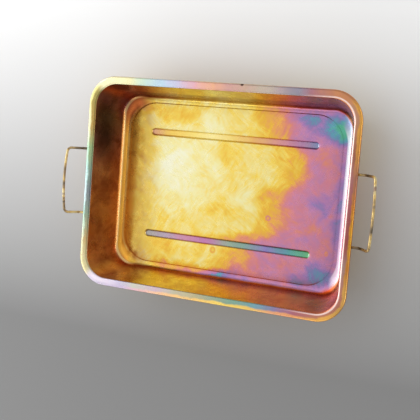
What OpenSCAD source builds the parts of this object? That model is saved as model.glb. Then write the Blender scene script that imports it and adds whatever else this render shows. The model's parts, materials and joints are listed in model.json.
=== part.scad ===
// Oil drain pan: a deep-drawn steel tray with a rolled edge, two pressed
// runners under the floor, and two cranked wire handles hinged in loop clips
// that are spot-welded to the end walls under the flange.
// The origin is the middle of the base: z = 0 is the plane the runners stand
// on, and the long side lies along X. Sizes are in millimetres.

/* [Pan] */
// Length over the rolled edge
pan_length = 450; // [380:1:520]
// Width over the rolled edge
pan_width = 343; // [280:1:400]
// Height from the runners' undersides to the top of the flange
pan_height = 81; // [70:1:110]
// Thickness of the steel sheet
sheet = 0.8; // [0.6:0.1:1.2]
// Lean of the walls from the vertical, in degrees
wall_draft = 10.5; // [8:0.5:16]
// Corner radius of the rolled edge's outline
edge_corner = 46; // [40:1:60]
// Corner radius where the wall turns out into the flange
mouth_corner = 36; // [30:1:45]
// Corner radius where the wall turns in to the foot fillet
foot_corner = 32; // [25:1:40]
// Corner radius of the floor panel
panel_corner = 45; // [40:1:60]
// Radius of the fillet between the wall and the floor
foot_fillet = 10; // [6:0.5:14]
// Width of the flat groove between the fillet and the floor panel's step,
// along the sides and, on top of that, at the two ends
side_groove = 0.5; // [0.5:0.25:3]
end_groove = 5; // [1:0.5:8]
// Width of the floor panel's step
step_width = 1.8; // [1:0.1:3]
// Height of the floor panel above the groove around it
panel_step = 0.6; // [0.4:0.1:1]

/* [Rolled edge] */
// Outside diameter of the rolled bead
bead_d = 6.5; // [5:0.1:8]
// Distance from the mouth bend's centre to the bead's centre
flange_run = 6.75; // [5:0.25:9]
// Radius of the bend between the wall and the flange
mouth_bend = 3; // [2:0.25:4]
// How far the bead is rolled round, in degrees
roll_angle = 288; // [252:18:306]

/* [Runners] */
// Distance between the two runners, centre to centre
runner_pitch = 173; // [140:1:190]
// Length of a runner's recess
runner_length = 294; // [240:1:310]
// Width of a runner's recess at the floor
runner_width = 14; // [10:0.5:18]
// Depth of a runner's recess below the floor panel
runner_depth = 3; // [2:0.25:4]

/* [Handles] */
// Diameter of the handle wire
wire_d = 4; // [3:0.25:4.5]
// Distance between a handle's two legs, centre to centre
leg_pitch = 106.8; // [90:0.1:120]
// Depth of the hinge pins' axis below the top of the flange
hinge_depth = 10.5; // [9.5:0.5:14]
// Reach of the level part of a leg beyond the rolled edge
leg_reach = 10.3; // [8:0.1:14]
// Upward crank of the handle outside the edge, in degrees
crank_angle = 52; // [40:1:60]
// Length of the cranked part, from the crank to the grip's middle
crank_length = 31.5; // [28:0.5:50]
// Radius of the grip's gentle outward bow
bow_radius = 380; // [300:5:600]
// Shift of the left handle along the end wall
left_shift = -3; // [-5:0.5:5]
// Shift of the right handle along the end wall
right_shift = -1.5; // [-5:0.5:5]

/* [Clips] */
// Thickness of a clip's strap
strap = 1; // [0.8:0.1:1.5]
// Width of a clip's strap along the pin
strap_width = 10; // [8:0.5:14]
// Length of a clip's welded tab below the pin
tab_length = 13; // [10:0.5:18]
// Radial clearance of a pin in its clip
pin_clearance = 0.06; // [0.02:0.01:0.1]

/* [Hidden] */

// Facets of a full turn on round solids, and on the runners' hulled ends
$fn = 64;
runner_facets = 32;
// Segments in a quarter-circle corner of the pan's outline
corner_steps = 12;
// Segments in the foot fillet and in the mouth bend
fillet_steps = 6;
bend_steps = 4;
// Turn of one segment of the rolled bead; it divides a quarter turn evenly
bead_facet = 18;
bead_steps = roll_angle / bead_facet;

bead_r = bead_d / 2;
wire_r = wire_d / 2;

// Half sizes of the outline that runs through the mouth bend's centre.
// Every other outline is this one moved outwards by u, or inwards by -u.
half_x = pan_length / 2 - bead_r - flange_run;
half_y = pan_width / 2 - bead_r - flange_run;

// Heights of the floor panel's top and of the groove that surrounds it
panel_z = runner_depth + sheet;
groove_z = panel_z - panel_step;

// The straight wall's upper end, where the mouth bend starts
wall_top_u = -mouth_bend * cos(wall_draft);
wall_top_z = pan_height - mouth_bend * (1 - sin(wall_draft));
// The straight wall's lower end, where the foot fillet starts
wall_foot_z = groove_z + foot_fillet * (1 - sin(wall_draft));
wall_foot_u = wall_top_u - (wall_top_z - wall_foot_z) * tan(wall_draft);
// The foot fillet's centre, and the two edges of the floor's step
fillet_u = wall_foot_u - foot_fillet * cos(wall_draft);
step_u = fillet_u - side_groove;
panel_u = step_u - step_width;
// The rolled edge's outermost line
edge_u = flange_run + bead_r;

// Pan's outline at offset u: half sizes follow u, corners follow this table
function corner_at(u) = lookup(u, [
    [panel_u, panel_corner],
    [fillet_u, panel_corner],
    [wall_foot_u, foot_corner],
    [wall_top_u, mouth_corner],
    [edge_u, edge_corner],
]);

// Both faces of the sheet at one point of its run: [u, z] on the face that
// holds the oil, then [u, z] on the other face
function bent(cu, cz, r_in, r_out, a) = [
    [cu + r_in * cos(a), cz + r_in * sin(a)],
    [cu + r_out * cos(a), cz + r_out * sin(a)],
];
function arc_run(cu, cz, r_in, r_out, from, to, steps) = [
    for (i = [0:steps]) bent(cu, cz, r_in, r_out, from + (to - from) * i / steps)
];

// The floor panel's step: [u, z] on both faces, as above
step_run = [
    [[panel_u, panel_z], [panel_u, panel_z - sheet]],
    [[step_u, groove_z], [step_u, groove_z - sheet]],
];
// The sheet's run from the foot fillet to the end of the rolled bead
sheet_run = concat(
    arc_run(
        fillet_u, groove_z + foot_fillet,
        foot_fillet, foot_fillet + sheet,
        -90, -wall_draft, fillet_steps
    ),
    arc_run(
        0, pan_height - mouth_bend,
        mouth_bend, mouth_bend - sheet,
        180 - wall_draft, 90, bend_steps
    ),
    arc_run(
        flange_run, pan_height - bead_r,
        bead_r, bead_r - sheet,
        90, 90 - roll_angle, bead_steps
    )
);

// One closed ring of points around the pan, at offset u and height z. It is
// shorter than the others by end_inset at each end.
function ring(u, z, corner, end_inset = 0) = [
    for (q = [0:3])
        let (
            sx = q == 0 || q == 3 ? 1 : -1,
            sy = q < 2 ? 1 : -1,
            cx = sx * (half_x + u - corner - end_inset),
            cy = sy * (half_y + u - corner)
        )
        for (i = [0:corner_steps])
            let (a = 90 * (q + i / corner_steps))
            [cx + corner * cos(a), cy + corner * sin(a), z]
];
function inner_ring(s, end_inset = 0) =
    ring(s[0][0], s[0][1], corner_at(s[0][0]), end_inset);
function outer_ring(s, end_inset = 0) =
    ring(s[1][0], s[1][1], corner_at(s[0][0]) + s[1][0] - s[0][0], end_inset);

// Rings stacked into one closed skin, with a flat cap at each end
module skin(rings) {
    n = len(rings[0]);
    last = len(rings) - 1;
    sides = [
        for (k = [0:last - 1])
            for (i = [0:n - 1])
                let (
                    j = (i + 1) % n,
                    a = k * n + i,
                    b = k * n + j,
                    c = a + n,
                    d = b + n
                )
                each [[a, d, c], [a, b, d]]
    ];
    first_cap = [for (i = [0:n - 1]) n - 1 - i];
    last_cap = [for (i = [0:n - 1]) last * n + i];
    polyhedron(
        points = [for (r = rings) each r],
        faces = concat([first_cap], sides, [last_cap])
    );
}

// Bar with round ends and sloping sides, along X
module runner_bar(r_low, r_high, z_low, z_high) {
    end_x = (runner_length - runner_width) / 2;
    hull()
        for (x = [-end_x, end_x])
            translate([x, 0, z_low])
                cylinder(h = z_high - z_low, r1 = r_low, r2 = r_high, $fn = runner_facets);
}

// A runner is the same pressing seen twice: a recess above, a bar below
module pan() {
    recess_r = runner_width / 2;
    side_slope = 2.6;
    side_wall = 0.75 * sheet;
    count = len(sheet_run);
    rings = concat(
        [for (s = step_run) inner_ring(s, end_groove)],
        [for (s = sheet_run) inner_ring(s)],
        [for (i = [count - 1:-1:0]) outer_ring(sheet_run[i])],
        [for (i = [1, 0]) outer_ring(step_run[i], end_groove)]
    );
    color("goldenrod")
        difference() {
            union() {
                skin(rings);
                for (side = [-1, 1])
                    translate([0, side * runner_pitch / 2, 0])
                        runner_bar(
                            recess_r - side_slope + side_wall,
                            recess_r + side_wall,
                            0,
                            runner_depth + sheet / 2
                        );
            }
            for (side = [-1, 1])
                translate([0, side * runner_pitch / 2, 0])
                    runner_bar(recess_r - side_slope, recess_r, sheet, panel_z + 0.01);
        }
}

// Hinge axis: a clip's loop stands against the outside of the end wall
bore_r = wire_r + pin_clearance;
loop_r = bore_r + strap;
hinge_z = pan_height - hinge_depth;
wall_out_x = half_x + wall_top_u - (wall_top_z - hinge_z) * tan(wall_draft)
    + sheet / cos(wall_draft);
weld_sink = 0.1;
hinge_x = wall_out_x + (loop_r - weld_sink) / cos(wall_draft);

// Lengths along a pin: leg bend, gap before the clip, clip, end beyond it
root_bend = 4;
clip_gap = 1.2;
pin_end = 2;
clip_y = leg_pitch / 2 + root_bend + clip_gap + strap_width / 2;
pin_length = clip_gap + strap_width + pin_end;

// Bends of the cranked part
crank_bend = 6;
grip_bend = 7;
bow_half = asin((leg_pitch / 2 - grip_bend) / (bow_radius - grip_bend));
grip_drop = bow_radius * (1 - cos(bow_half)) + grip_bend * cos(bow_half);
crank_setback = crank_bend * tan(crank_angle / 2);
level_length = pan_length / 2 + leg_reach - hinge_x - root_bend - crank_setback;
rise_length = crank_length - crank_setback - grip_drop;

// The wire between the pins, step by step: each step is
// [straight length, bend radius, bend angle, which way the bend turns].
// The last is an angle in the wire's own cross-section.
sideways = 0;
upwards = 90;
across = 180;
leg = [
    [0, root_bend, 90, sideways],
    [level_length, crank_bend, crank_angle, upwards],
    [rise_length, grip_bend, 90 - bow_half, across],
];
grip = [[0, bow_radius, 2 * bow_half, across]];
leg_back = [
    [0, grip_bend, 90 - bow_half, across],
    [rise_length, crank_bend, crank_angle, upwards],
    [level_length, root_bend, 90, sideways],
];

// Sides of the bent wire's section, and the most that one segment of a bend
// may turn and run
wire_sides = 16;
wire_turn = 12;
wire_run = 12;

// Rodrigues' rotation of v about the unit axis n by angle a
function turned(v, n, a) =
    v * cos(a) + cross(n, v) * sin(a) + n * (n * v) * (1 - cos(a));

// One point of the wire: [position, heading, side]
function bent_frames(steps, frame, i = 0) = i == len(steps) ? [] :
    let (
        run = steps[i][0],
        r = steps[i][1],
        a = steps[i][2],
        way = steps[i][3],
        head = frame[1],
        side = frame[2],
        from = frame[0] + run * head,
        towards = side * cos(way) + cross(head, side) * sin(way),
        axis = cross(head, towards),
        count = ceil(max(a / wire_turn, r * a * PI / 180 / wire_run)),
        frames = [
            for (k = [run > 0 ? 0 : 1 : count])
                let (t = a * k / count)
                [
                    from + r * towards - r * turned(towards, axis, t),
                    turned(head, axis, t),
                    turned(side, axis, t),
                ]
        ]
    )
    concat(frames, bent_frames(steps, frames[len(frames) - 1], i + 1));

// The wire's section at one frame, a hair inside the pins' circle
inside_pin = 0.995;
function wire_ring(frame) =
    let (up = cross(frame[1], frame[2]), r = inside_pin * wire_r)
    [
        for (k = [0:wire_sides - 1])
            let (a = 360 * k / wire_sides)
            frame[0] + r * (cos(a) * frame[2] - sin(a) * up)
    ];

// The right handle: bent wire between two true round pins
module right_handle_shape() {
    pin_root = leg_pitch / 2 + root_bend;
    start = [[hinge_x, pin_root, hinge_z], [0, -1, 0], [1, 0, 0]];
    frames = concat([start], bent_frames(concat(leg, grip, leg_back), start));
    skin([for (f = frames) wire_ring(f)]);
    for (way = [-1, 1])
        translate([hinge_x, way * pin_root, hinge_z])
            rotate([-way * 90, 0, 0])
                cylinder(h = pin_length, r = wire_r);
}

module handle_left() {
    color("darkgoldenrod")
        translate([0, left_shift, 0])
            mirror([1, 0, 0])
                right_handle_shape();
}

module handle_right() {
    color("darkgoldenrod")
        translate([0, right_shift, 0])
            right_handle_shape();
}

// Strap folded round the pin, both ends laid together on the wall below it
module clip(side, y) {
    mirror([side < 0 ? 1 : 0, 0, 0])
        translate([hinge_x, y + strap_width / 2, hinge_z])
            rotate([90, 0, 0])
                rotate([0, 0, -wall_draft])
                    linear_extrude(strap_width)
                        difference() {
                            union() {
                                circle(r = loop_r);
                                translate([-loop_r, -tab_length])
                                    square([2 * strap, tab_length]);
                            }
                            circle(r = bore_r);
                        }
}

module clip_left_front() {
    color("olivedrab") clip(-1, left_shift - clip_y);
}

module clip_left_back() {
    color("olivedrab") clip(-1, left_shift + clip_y);
}

module clip_right_front() {
    color("olivedrab") clip(1, right_shift - clip_y);
}

module clip_right_back() {
    color("olivedrab") clip(1, right_shift + clip_y);
}

pan();
handle_left();
handle_right();
clip_left_front();
clip_left_back();
clip_right_front();
clip_right_back();
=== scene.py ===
"""Looks of the oil drain pan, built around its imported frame.

The object is one deep-drawn steel tray with a rolled edge, two bent-wire drop
handles and four loop clips, all zinc plated under an iridescent yellow
chromate. Lengths are in metres and angles in degrees unless a name says
otherwise. +X runs along the tray, +Y across it and +Z up.
"""

import json
import logging
import math
from dataclasses import dataclass, field
from enum import Enum

import bmesh
import bpy
from mathutils import Matrix, Vector, noise


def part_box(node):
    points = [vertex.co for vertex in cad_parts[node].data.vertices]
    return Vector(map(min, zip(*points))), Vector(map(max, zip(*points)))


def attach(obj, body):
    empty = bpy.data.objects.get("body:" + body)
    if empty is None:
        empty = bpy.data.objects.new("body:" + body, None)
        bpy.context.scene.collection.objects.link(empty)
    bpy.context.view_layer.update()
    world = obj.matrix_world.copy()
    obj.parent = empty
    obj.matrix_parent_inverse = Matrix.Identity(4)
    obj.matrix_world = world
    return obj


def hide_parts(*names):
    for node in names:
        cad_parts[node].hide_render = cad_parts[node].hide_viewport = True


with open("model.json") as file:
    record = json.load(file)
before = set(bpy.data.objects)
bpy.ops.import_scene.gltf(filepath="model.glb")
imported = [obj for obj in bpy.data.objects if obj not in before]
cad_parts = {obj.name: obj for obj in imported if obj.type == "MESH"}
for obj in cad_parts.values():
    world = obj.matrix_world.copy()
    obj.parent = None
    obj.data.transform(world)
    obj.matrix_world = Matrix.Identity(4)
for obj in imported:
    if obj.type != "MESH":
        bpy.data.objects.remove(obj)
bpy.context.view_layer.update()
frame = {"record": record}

LOG = logging.getLogger("drain_pan")
MM = 0.001

Mesh = bmesh.types.BMesh
Vert = bmesh.types.BMVert
Edge = bmesh.types.BMEdge
Piece = bpy.types.Object
Ring = list[Vert]
Grid = dict[tuple[int, int], Vert]
Pair = tuple[float, float]
Tone = tuple[int, int, int]
Stops = list[tuple[float, Tone]]


class Side(Enum):
    """Which end of the tray a handle hangs on."""

    LEFT = -1
    RIGHT = 1


class End(Enum):
    """Front or back one of a handle's two pins, or of the two runners."""

    FRONT = -1
    BACK = 1


# ---------------------------------------------------------------- mesh tools


def ring_edges(bm: Mesh, ring: Ring) -> list[Edge]:
    """Find the edges that join a closed ring of vertices, in order."""
    return [bm.edges.get(pair) for pair in zip(ring, ring[1:] + ring[:1])]


def extrude_ring(bm: Mesh, ring: Ring, points: list[Vector]) -> Ring:
    """Extrude a closed ring of vertices to new places and keep its order.

    Args:
        bm: Mesh that holds the ring.
        ring: Vertices in order.
        points: New place of each.

    Returns:
        The new vertices, each in the place of the one it came from.
    """
    fresh = set(bmesh.ops.extrude_edge_only(bm, edges=ring_edges(bm, ring))["geom"])
    moved = []
    for vert, point in zip(ring, points, strict=True):
        twin = next(e.other_vert(vert) for e in vert.link_edges if e.other_vert(vert) in fresh)
        twin.co = point
        moved.append(twin)
    return moved


def push(bm: Mesh, edges: list[Edge], reach: Vector, count: int = 1) -> list[Edge]:
    """Extrude open edges straight on in equal steps.

    Args:
        bm: Mesh that holds them.
        edges: Edges to start from.
        reach: Whole distance.
        count: Number of steps.

    Returns:
        The last edges.
    """
    for _ in range(count):
        grown = bmesh.ops.extrude_edge_only(bm, edges=edges)["geom"]
        fresh = {g for g in grown if isinstance(g, Vert)}
        bmesh.ops.translate(bm, verts=list(fresh), vec=reach / count)
        edges = [g for g in grown if isinstance(g, Edge) and set(g.verts) <= fresh]
    return edges


def bend(
    bm: Mesh, edges: list[Edge], centre: Vector, axis: Vector, angle: float, steps: int
) -> list[Edge]:
    """Bend open edges on round an axis.

    Args:
        bm: Mesh that holds them.
        edges: Edges to start from.
        centre: Point on the axis.
        axis: Direction of the axis.
        angle: How far they turn.
        steps: Number of segments.

    Returns:
        The last edges.
    """
    verts = list(dict.fromkeys(v for e in edges for v in e.verts))
    spun = bmesh.ops.spin(
        bm, geom=verts + edges, cent=centre, axis=axis, angle=math.radians(angle),
        steps=steps, use_merge=False, use_duplicate=False,
    )
    return [g for g in spun["geom_last"] if isinstance(g, Edge)]


def add_object(name: str, data: bpy.types.ID | Mesh) -> Piece:
    """Put a new object into the scene, at the origin.

    Args:
        name: Name of the object.
        data: Light, camera or finished bmesh, which is freed here.

    Returns:
        The object.
    """
    if isinstance(data, Mesh):
        mesh = bpy.data.meshes.new(name)
        data.to_mesh(mesh)
        data.free()
        data = mesh
    thing = bpy.data.objects.new(name, data)
    bpy.context.collection.objects.link(thing)
    return thing


def make_piece(name: str, bm: Mesh, body: str, node: str) -> Piece:
    """Turn a finished mesh into a smooth-shaded piece of the model.

    Args:
        name: Name of the piece.
        bm: Its mesh, freed here.
        body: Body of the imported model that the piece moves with.
        node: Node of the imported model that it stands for.

    Returns:
        The piece.
    """
    piece = add_object(name, bm)
    faces = piece.data.polygons
    faces.foreach_set("use_smooth", [True] * len(faces))
    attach(piece, body)
    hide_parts(node)
    return piece


def arc_points(centre: Pair, radius: float, start: float, end: float, steps: int) -> list[Pair]:
    """Points along an arc from one angle to another, both ends included."""
    angles = [math.radians(start + (end - start) * i / steps) for i in range(steps + 1)]
    return [(centre[0] + radius * math.cos(a), centre[1] + radius * math.sin(a)) for a in angles]


def smoothstep(low: float, high: float, x: float) -> float:
    """Smooth ramp from 0 at low to 1 at high."""
    t = min(max((x - low) / (high - low), 0.0), 1.0)
    return t * t * (3 - 2 * t)


# ------------------------------------------------------------------ the tray


@dataclass(frozen=True)
class Station:
    """One line of the sheet's run, all the way round the tray."""

    out: float
    height: float
    corner: float
    end_inset: float = 0.0


@dataclass
class SheetRun:
    """Run of the drawn sheet from the floor panel out to the rolled bead.

    Distances called out are measured outwards from the outline through the
    mouth bend's centre, and inwards where they are negative.
    """

    rim_height: float
    sheet: float = 0.8 * MM
    draft: float = 10.5
    bead_radius: float = 3.25 * MM
    flange: float = 6.75 * MM
    mouth_bend: float = 3 * MM
    foot_fillet: float = 10 * MM
    runner_depth: float = 3 * MM
    panel_step: float = 0.6 * MM
    side_groove: float = 0.5 * MM
    end_groove: float = 5 * MM
    step_width: float = 1.8 * MM
    roll: float = 288.0
    edge_corner: float = 46 * MM
    mouth_corner: float = 36 * MM
    foot_corner: float = 32 * MM
    panel_corner: float = 45 * MM
    step_lines: int = 5
    wall_lines: int = 16

    @property
    def panel_height(self) -> float:
        """Height of the floor panel's top."""
        return self.runner_depth + self.sheet

    @property
    def moat_height(self) -> float:
        """Height of the groove that surrounds the floor panel."""
        return self.panel_height - self.panel_step

    @property
    def wall_top(self) -> Pair:
        """Upper end of the straight wall.

        Returns:
            Its offset and its height.
        """
        lean = math.radians(self.draft)
        height = self.rim_height - self.mouth_bend * (1 - math.sin(lean))
        return -self.mouth_bend * math.cos(lean), height

    @property
    def wall_foot(self) -> Pair:
        """Lower end of the straight wall.

        Returns:
            Its offset and its height.
        """
        lean = math.radians(self.draft)
        height = self.moat_height + self.foot_fillet * (1 - math.sin(lean))
        top_out, top_height = self.wall_top
        return top_out - (top_height - height) * math.tan(lean), height

    @property
    def fillet_out(self) -> float:
        """Offset of the foot fillet's centre."""
        return self.wall_foot[0] - self.foot_fillet * math.cos(math.radians(self.draft))

    @property
    def panel_out(self) -> float:
        """Offset of the floor panel's edge."""
        return self.fillet_out - self.side_groove - self.step_width

    def corner_at(self, out: float) -> float:
        """Corner radius of the outline at an offset.

        Args:
            out: Offset from the mouth outline.

        Returns:
            Radius, between the ones named for the tray's own lines.
        """
        knots = [
            (self.fillet_out, self.panel_corner),
            (self.wall_foot[0], self.foot_corner),
            (self.wall_top[0], self.mouth_corner),
            (self.flange + self.bead_radius, self.edge_corner),
        ]
        for (out_a, r_a), (out_b, r_b) in zip(knots, knots[1:]):
            if out <= out_b:
                return r_a + (r_b - r_a) * max(out - out_a, 0.0) / (out_b - out_a)
        return self.edge_corner

    def stations(self) -> list[Station]:
        """Lines of the run, from the floor panel's edge to the bead's end.

        Returns:
            Stations on the face that holds the oil.
        """
        lines = []
        for i in range(self.step_lines + 1):
            t = i / self.step_lines
            out = self.panel_out + t * self.step_width
            height = self.panel_height - self.panel_step * smoothstep(0, 1, t)
            lines.append(Station(out, height, self.panel_corner, self.end_groove))
        out = self.fillet_out - self.side_groove / 2
        lines.append(Station(out, self.moat_height, self.panel_corner, self.end_groove / 2))
        centre = (self.fillet_out, self.moat_height + self.foot_fillet)
        points = arc_points(centre, self.foot_fillet, -90, -self.draft, 14)
        foot, top = self.wall_foot, self.wall_top
        for i in range(1, self.wall_lines):
            t = i / self.wall_lines
            points.append((foot[0] + t * (top[0] - foot[0]), foot[1] + t * (top[1] - foot[1])))
        centre = (0.0, self.rim_height - self.mouth_bend)
        points += arc_points(centre, self.mouth_bend, 180 - self.draft, 90, 8)
        points.append((self.flange / 2, self.rim_height))
        centre = (self.flange, self.rim_height - self.bead_radius)
        points += arc_points(centre, self.bead_radius, 90, 90 - self.roll, 32)
        return lines + [Station(out, height, self.corner_at(out)) for out, height in points]


@dataclass
class DrawnPan:
    """The drawn tray with its two pressed runners and its rolled edge."""

    corner_steps: int = 24
    long_steps: int = 62
    wide_steps: int = 38
    grid_inset: float = 16 * MM
    runner_pitch: float = 173 * MM
    runner_length: float = 294 * MM
    runner_width: float = 14 * MM
    runner_margin: float = 3 * MM
    runner_slope: float = 38.0
    lip_radius: float = 1.6 * MM
    foot_radius: float = 1.8 * MM
    unevenness: float = 0.22 * MM
    wall_unevenness: float = 1.6
    wrinkles: float = 9.0
    wrinkle_height: float = 0.35 * MM
    faint_wrinkle: float = 0.08 * MM
    eased_step: float = 0.65
    eased_stretch: Pair = (0.148, 0.172)
    run: SheetRun = field(init=False)
    half_x: float = field(init=False)
    half_y: float = field(init=False)

    def __post_init__(self) -> None:
        """Take the tray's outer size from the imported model."""
        low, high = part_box("pan")
        self.run = SheetRun(rim_height=high[2])
        edge = self.run.flange + self.run.bead_radius
        self.half_x = (high[0] - low[0]) / 2 - edge
        self.half_y = (high[1] - low[1]) / 2 - edge

    def outline(self, station: Station) -> list[Vector]:
        """Closed outline of the tray at one station, anticlockwise.

        Args:
            station: Line of the sheet's run.

        Returns:
            Points that start where the right back corner starts.
        """
        reach_x = self.half_x + station.out - station.corner - station.end_inset
        reach_y = self.half_y + station.out - station.corner
        arcs = []
        for quarter, (sx, sy) in enumerate(((1, 1), (-1, 1), (-1, -1), (1, -1))):
            centre, start = (sx * reach_x, sy * reach_y), 90 * quarter
            arc = arc_points(centre, station.corner, start, start + 90, self.corner_steps)
            arcs.append([Vector((x, y, station.height)) for x, y in arc])
        points: list[Vector] = []
        for quarter, arc in enumerate(arcs):
            steps = (self.long_steps, self.wide_steps)[quarter % 2]
            goal = arcs[(quarter + 1) % 4][0]
            points += arc + [arc[-1].lerp(goal, i / steps) for i in range(1, steps)]
        return points

    def grid_lines(self, half: float, steps: int, pinned: float | None = None) -> list[float]:
        """Places of the floor grid's lines along one axis.

        Args:
            half: Half size of the floor panel along the axis.
            steps: Cells in the straight stretch between the corners.
            pinned: Place that a line has to pass through, if any.

        Returns:
            Ascending places; the outer ones belong to the corners.
        """
        straight = half - self.run.panel_corner
        outer = half - self.grid_inset
        cells = self.corner_steps // 2
        ends = [straight + (outer - straight) * i / cells for i in range(1, cells + 1)]
        if pinned is None:
            middle = [straight * (2 * i / steps - 1) for i in range(steps + 1)]
        else:
            inner = [pinned * (2 * i / (steps - 2) - 1) for i in range(steps - 1)]
            middle = [-straight, *inner, straight]
        return [-e for e in reversed(ends)] + middle + ends

    def floor_grid(self, bm: Mesh) -> tuple[Grid, tuple[int, int]]:
        """Lay the floor panel's grid.

        Args:
            bm: Mesh to build in.

        Returns:
            Vertices by column and row, and the last column and row.
        """
        half_x = self.half_x + self.run.panel_out - self.run.end_groove
        half_y = self.half_y + self.run.panel_out
        lower_edge = self.runner_pitch / 2 - self.runner_width / 2 - self.runner_margin
        columns = self.grid_lines(half_x, self.long_steps)
        rows = self.grid_lines(half_y, self.wide_steps, lower_edge)
        last = (len(columns) - 1, len(rows) - 1)
        made = bmesh.ops.create_grid(bm, x_segments=last[0], y_segments=last[1], size=1)
        grid = {}
        for vert in made["verts"]:
            i = round((vert.co.x + 1) / 2 * last[0])
            j = round((vert.co.y + 1) / 2 * last[1])
            vert.co = (columns[i], rows[j], self.run.panel_height)
            grid[i, j] = vert
        return grid, last

    @staticmethod
    def rectangle(low: tuple[int, int], high: tuple[int, int]) -> list[tuple[int, int]]:
        """Walk round a rectangle of the grid, anticlockwise.

        Args:
            low: Column and row of its low corner, where the walk starts.
            high: Column and row of its high corner.

        Returns:
            Columns and rows of the places on its edge.
        """
        (i0, j0), (i1, j1) = low, high
        return (
            [(i, j0) for i in range(i0, i1)]
            + [(i1, j) for j in range(j0, j1)]
            + [(i, j1) for i in range(i1, i0, -1)]
            + [(i0, j) for j in range(j1, j0, -1)]
        )

    def runner_profile(self) -> list[Pair]:
        """Half width and height of a runner's recess, from its lip down.

        Returns:
            Points of the lip's round, then of the round at its foot.
        """
        slope = math.radians(self.runner_slope)
        top = self.run.panel_height
        centre = (self.runner_width / 2, top - self.lip_radius)
        lip = arc_points(centre, self.lip_radius, 90, 180 - self.runner_slope, 5)
        foot_height = top - self.run.runner_depth + self.foot_radius
        fall = lip[-1][1] - (foot_height - self.foot_radius * math.sin(slope))
        foot_x = lip[-1][0] - fall * math.tan(slope) - self.foot_radius * math.cos(slope)
        return lip + arc_points(
            (foot_x, foot_height), self.foot_radius, -self.runner_slope, -90, 5
        )

    def press_runner(self, bm: Mesh, grid: Grid, last_row: int, end: End) -> None:
        """Cut a runner's recess into the floor grid and sink it.

        Args:
            bm: Mesh that holds the grid.
            grid: Vertices by column and row.
            last_row: Number of the grid's last row.
            end: Which of the two runners.
        """
        margin = self.corner_steps // 4
        inner = self.corner_steps // 2 + 1
        i0, i1 = margin, self.long_steps + self.corner_steps - margin
        j0, j1 = (margin, inner) if end is End.FRONT else (last_row - inner, last_row - margin)
        low, high = grid[i0, j0].co, grid[i1, j1].co
        hole = []
        for face in bm.faces:
            middle = face.calc_center_median()
            if low.x < middle.x < high.x and low.y < middle.y < high.y:
                hole.append(face)
        ring = [grid[place] for place in self.rectangle((i0, j0), (i1, j1))]
        bmesh.ops.delete(bm, geom=hole, context="FACES")
        rays = self.runner_rays(len(ring), j1 - j0, end.value * self.runner_pitch / 2)
        for half_width, height in self.runner_profile():
            lift = Vector((0, 0, height))
            ring = extrude_ring(bm, ring, [foot + ray * half_width + lift for foot, ray in rays])
        bmesh.ops.contextual_create(bm, geom=ring_edges(bm, ring))

    def runner_rays(
        self, count: int, across: int, centre_y: float
    ) -> list[tuple[Vector, Vector]]:
        """Where each point of a runner's outline starts, and which way it goes.

        Args:
            count: Vertices round the hole in the grid, from its low corner.
            across: Cells across the hole's short side.
            centre_y: Middle line of the runner.

        Returns:
            A point on the middle line and a unit vector for each vertex.
        """
        borrowed = 4
        end_x = (self.runner_length - self.runner_width) / 2
        straight = (count - 2 * across) // 2 - 2 * borrowed
        turn_steps = across + 2 * borrowed
        rays = []
        for k in range(count):
            lap, step = divmod((k - borrowed) % count, straight + turn_steps)
            sign = -1 if lap else 1
            x = sign * end_x * min(2 * step / straight - 1, 1.0)
            turned = 180 * max(step - straight, 0) / turn_steps
            heading = math.radians(turned + (90 if lap else -90))
            ray = Vector((math.cos(heading), math.sin(heading), 0))
            rays.append((Vector((x, centre_y, 0)), ray))
        return rays

    def floor_ring(self, grid: Grid, last: tuple[int, int]) -> Ring:
        """Outer edge of the floor grid, in the order of the tray's outlines.

        Args:
            grid: Vertices by column and row.
            last: Last column and row.

        Returns:
            The edge's vertices.
        """
        places = self.rectangle((0, 0), last)
        shift = places.index((last[0], last[1] - self.corner_steps // 2))
        return [grid[place] for place in places[shift:] + places[:shift]]

    def ripple(self, point: Vector) -> float:
        """Draw wrinkles where the sheet gathers at the floor's corners.

        Args:
            point: Place on the sheet.

        Returns:
            How far the sheet stands up there.
        """
        corner = self.run.panel_corner
        over_x = abs(point.x) - (self.half_x + self.run.panel_out - self.run.end_groove - corner)
        over_y = abs(point.y) - (self.half_y + self.run.panel_out - corner)
        if over_x <= 0 or over_y <= 0:
            return 0.0
        swing = math.atan2(over_y, over_x) / (math.pi / 2)
        reach = math.hypot(over_x, over_y) - corner
        band = smoothstep(-8 * MM, -2 * MM, reach) * (1 - smoothstep(5 * MM, 13 * MM, reach))
        fade = smoothstep(0.04, 0.3, swing) * (1 - smoothstep(0.7, 0.96, swing))
        wobble = noise.noise(Vector((point.x, point.y, 0)) * 60)
        height = self.wrinkle_height if point.x < 0 and point.y < 0 else self.faint_wrinkle
        return height * band * fade * math.sin(self.wrinkles * math.pi * swing + 3 * wobble)

    def wear_in(self, bm: Mesh) -> None:
        """Give the walls and floor the slight unevenness of drawn sheet.

        Args:
            bm: Mesh of the whole sheet.
        """
        bm.normal_update()
        panel = self.run.panel_height
        highest = self.run.wall_top[1] - 4 * MM
        for vert in bm.verts:
            point = vert.co
            if not self.run.moat_height - 0.1 * MM <= point.z <= highest:
                continue
            waves = noise.noise(point * 17) + 0.4 * noise.noise(point * 45)
            size = self.unevenness * (self.wall_unevenness if point.z > panel + 5.9 * MM else 1)
            off_runner = abs(abs(point.y) - self.runner_pitch / 2) / (self.runner_width * 1.4)
            edge = 1 - smoothstep(highest - 12 * MM, highest, point.z)
            shallow = max(panel - point.z, 0.0) * self.eased_step
            shallow *= smoothstep(*self.eased_stretch, point.x)
            vert.co = point + vert.normal * (waves * size * min(off_runner, 1.0) * edge)
            vert.co.z += self.ripple(point) + shallow

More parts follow.
